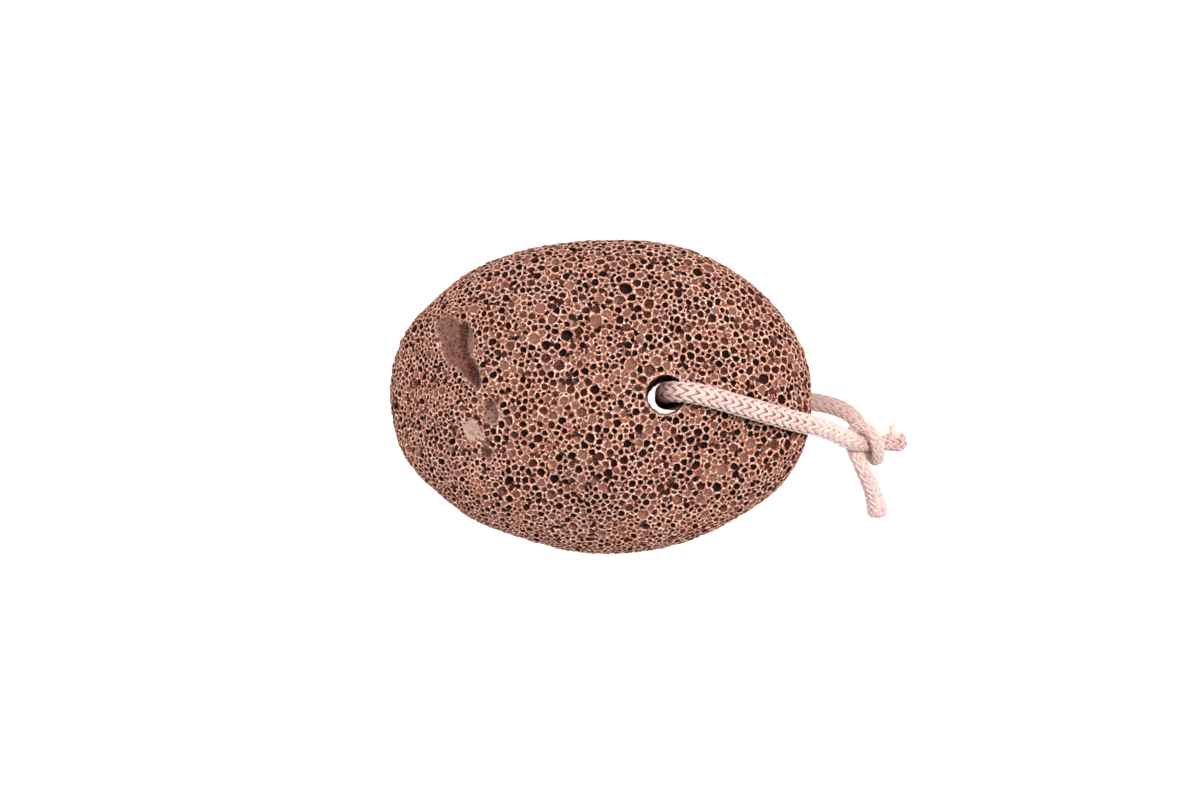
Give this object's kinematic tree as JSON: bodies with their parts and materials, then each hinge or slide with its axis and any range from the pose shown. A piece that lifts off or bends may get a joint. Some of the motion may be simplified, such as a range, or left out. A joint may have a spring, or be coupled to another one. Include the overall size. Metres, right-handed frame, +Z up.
{
  "type": "pumice stone",
  "caption": "Oval pumice foot stone, pitted all over, with a drilled hole and a knotted loop of braided cord.",
  "frame": {"origin": "middle of the stone's bounding box on the surface that it rests on, leaving the cord out", "axes": "+X along the stone's long way towards the hole and the knot, +Z up through its thickness"},
  "size_m": [0.1264, 0.0747, 0.0472],
  "materials": {
    "pumice": "matte",
    "cord": "matte"
  },
  "bodies": {
    "root": {"stone": "pumice", "cord": "cord"}
  },
  "joints": []
}
